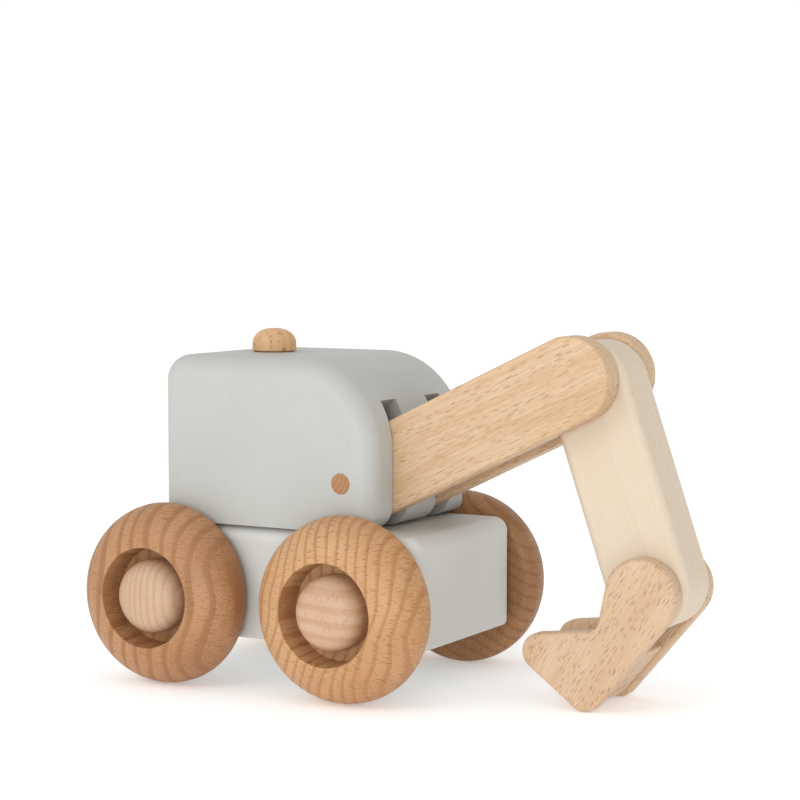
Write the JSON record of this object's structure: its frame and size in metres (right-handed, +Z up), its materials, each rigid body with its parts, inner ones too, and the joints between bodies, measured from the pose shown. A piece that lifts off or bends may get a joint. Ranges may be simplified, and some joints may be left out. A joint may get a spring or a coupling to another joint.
{
  "type": "toy excavator",
  "caption": "Wooden toy excavator with a painted block body on turned wheels, a boom, a dipper and a bucket that hinge on dowels",
  "frame": {"origin": "on the ground, under the middle of the whole toy's bounding box", "axes": "+X forward, towards the bucket, +Y to the vehicle's left, +Z up"},
  "size_m": [0.2362, 0.132, 0.1368],
  "materials": {
    "grey_paint": "satin pale grey paint on beech",
    "oiled_beech": "warm oiled beech",
    "pale_beech": "pale beech, lightly waxed",
    "bucket_beech": "beech with long flecks, lightly waxed",
    "steamed_beech": "smooth pinkish beech dowel and turned pegs",
    "cream_stain": "thin cream stain on beech"
  },
  "bodies": {
    "base": {"chassis": "grey_paint", "cab": "grey_paint", "roof_peg": "oiled_beech", "boom_pivot_dowel": "steamed_beech", "axle_peg_front_right": "steamed_beech", "axle_peg_front_left": "steamed_beech", "axle_peg_rear_right": "steamed_beech", "axle_peg_rear_left": "steamed_beech"},
    "boom": {"boom_plank_right": "pale_beech", "boom_plank_left": "pale_beech", "dipper_pivot_dowel": "steamed_beech"},
    "dipper": {"dipper": "cream_stain"},
    "bucket": {"bucket_plate_right": "bucket_beech", "bucket_plate_left": "bucket_beech", "bucket_block": "bucket_beech", "bucket_pivot_dowel": "steamed_beech"},
    "wheel_front_right": {"wheel_front_right": "oiled_beech"},
    "wheel_front_left": {"wheel_front_left": "oiled_beech"},
    "wheel_rear_right": {"wheel_rear_right": "oiled_beech"},
    "wheel_rear_left": {"wheel_rear_left": "oiled_beech"}
  },
  "joints": [
    {"name": "boom_lift", "type": "hinge", "parent": "base", "child": "boom", "pos_m": [-0.00905, 0, 0.0807], "axis": [0, -1, 0], "range_deg": [-30, 19]},
    {"name": "dipper_draw", "type": "hinge", "parent": "boom", "child": "dipper", "pos_m": [0.07619, 0, 0.12149], "axis": [0, 1, 0], "range_deg": [-95, 18]},
    {"name": "bucket_curl", "type": "hinge", "parent": "dipper", "child": "bucket", "pos_m": [0.10255, 0, 0.04405], "axis": [0, 1, 0], "range_deg": [-155, 57]},
    {"name": "wheel_front_right_spin", "type": "hinge", "parent": "base", "child": "wheel_front_right", "pos_m": [-0.00305, -0.052, 0.035], "axis": [0, 1, 0], "continuous": true},
    {"name": "wheel_front_left_spin", "type": "hinge", "parent": "base", "child": "wheel_front_left", "pos_m": [-0.00305, 0.052, 0.035], "axis": [0, 1, 0], "continuous": true},
    {"name": "wheel_rear_right_spin", "type": "hinge", "parent": "base", "child": "wheel_rear_right", "pos_m": [-0.08305, -0.052, 0.035], "axis": [0, 1, 0], "continuous": true},
    {"name": "wheel_rear_left_spin", "type": "hinge", "parent": "base", "child": "wheel_rear_left", "pos_m": [-0.08305, 0.052, 0.035], "axis": [0, 1, 0], "continuous": true}
  ]
}
